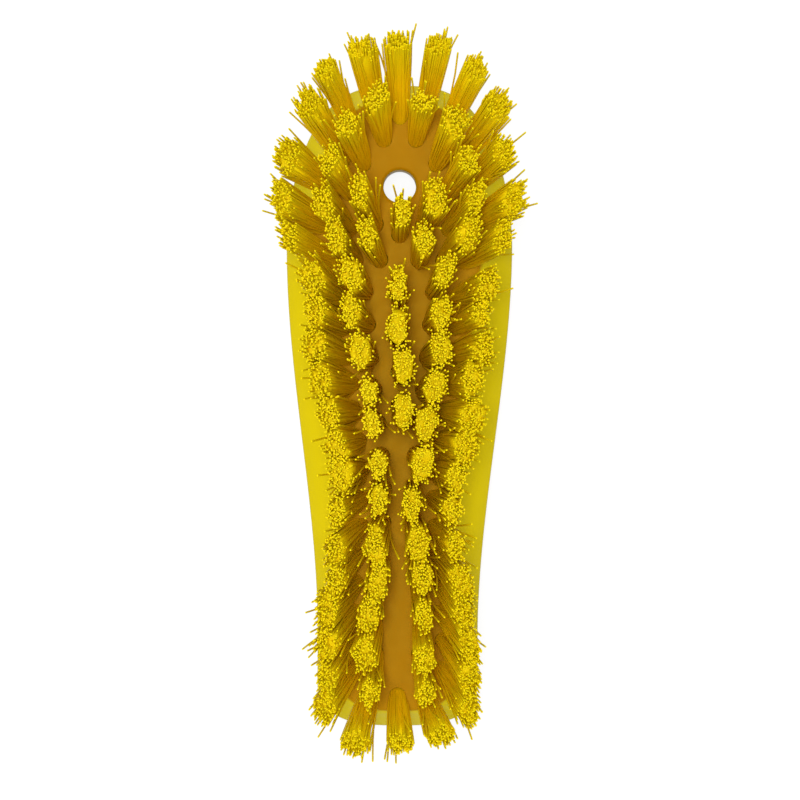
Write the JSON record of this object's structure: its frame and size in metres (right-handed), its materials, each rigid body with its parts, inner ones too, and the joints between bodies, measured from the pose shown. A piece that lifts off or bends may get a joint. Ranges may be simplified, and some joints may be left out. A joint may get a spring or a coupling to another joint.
{
  "type": "hand scrub brush",
  "caption": "Moulded block with a wide round head, a narrower finger grip and a hanging hole, set with rows of stiff bristle tufts that fan outwards, each held by a flat wire staple.",
  "frame": {"origin": "centre of the flat on the block's back, midway along the block", "axes": "+Z out of the bristle face, +Y along the block towards the wide head with the hanging hole, +X to the right seen from the bristle side with the head up"},
  "size_m": [0.0794, 0.2238, 0.07],
  "materials": {
    "block_plastic": "satin yellow moulded plastic",
    "filament": "yellow plastic filament",
    "staple_steel": "plain flat wire"
  },
  "bodies": {
    "root": {"block": "block_plastic", "staples_hole_arc": "staple_steel", "staples_inner_left_1": "staple_steel", "staples_inner_left_2": "staple_steel", "staples_inner_left_3": "staple_steel", "staples_inner_left_4": "staple_steel", "staples_inner_left_5": "staple_steel", "staples_inner_right_1": "staple_steel", "staples_inner_right_2": "staple_steel", "staples_inner_right_3": "staple_steel", "staples_inner_right_4": "staple_steel", "staples_inner_right_5": "staple_steel", "staples_middle": "staple_steel", "staples_neck": "staple_steel", "staples_rim_head": "staple_steel", "staples_rim_left_1": "staple_steel", "staples_rim_left_2": "staple_steel", "staples_rim_left_3": "staple_steel", "staples_rim_left_4": "staple_steel", "staples_rim_left_5": "staple_steel", "staples_rim_left_6": "staple_steel", "staples_rim_right_1": "staple_steel", "staples_rim_right_2": "staple_steel", "staples_rim_right_3": "staple_steel", "staples_rim_right_4": "staple_steel", "staples_rim_right_5": "staple_steel", "staples_rim_right_6": "staple_steel", "staples_rim_tail": "staple_steel", "tufts_hole_arc": "filament", "tufts_inner_left_1": "filament", "tufts_inner_left_2": "filament", "tufts_inner_left_3": "filament", "tufts_inner_left_4": "filament", "tufts_inner_left_5": "filament", "tufts_inner_right_1": "filament", "tufts_inner_right_2": "filament", "tufts_inner_right_3": "filament", "tufts_inner_right_4": "filament", "tufts_inner_right_5": "filament", "tufts_middle": "filament", "tufts_neck": "filament", "tufts_rim_head": "filament", "tufts_rim_left_1": "filament", "tufts_rim_left_2": "filament", "tufts_rim_left_3": "filament", "tufts_rim_left_4": "filament", "tufts_rim_left_5": "filament", "tufts_rim_left_6": "filament", "tufts_rim_right_1": "filament", "tufts_rim_right_2": "filament", "tufts_rim_right_3": "filament", "tufts_rim_right_4": "filament", "tufts_rim_right_5": "filament", "tufts_rim_right_6": "filament", "tufts_rim_tail": "filament"}
  },
  "joints": []
}
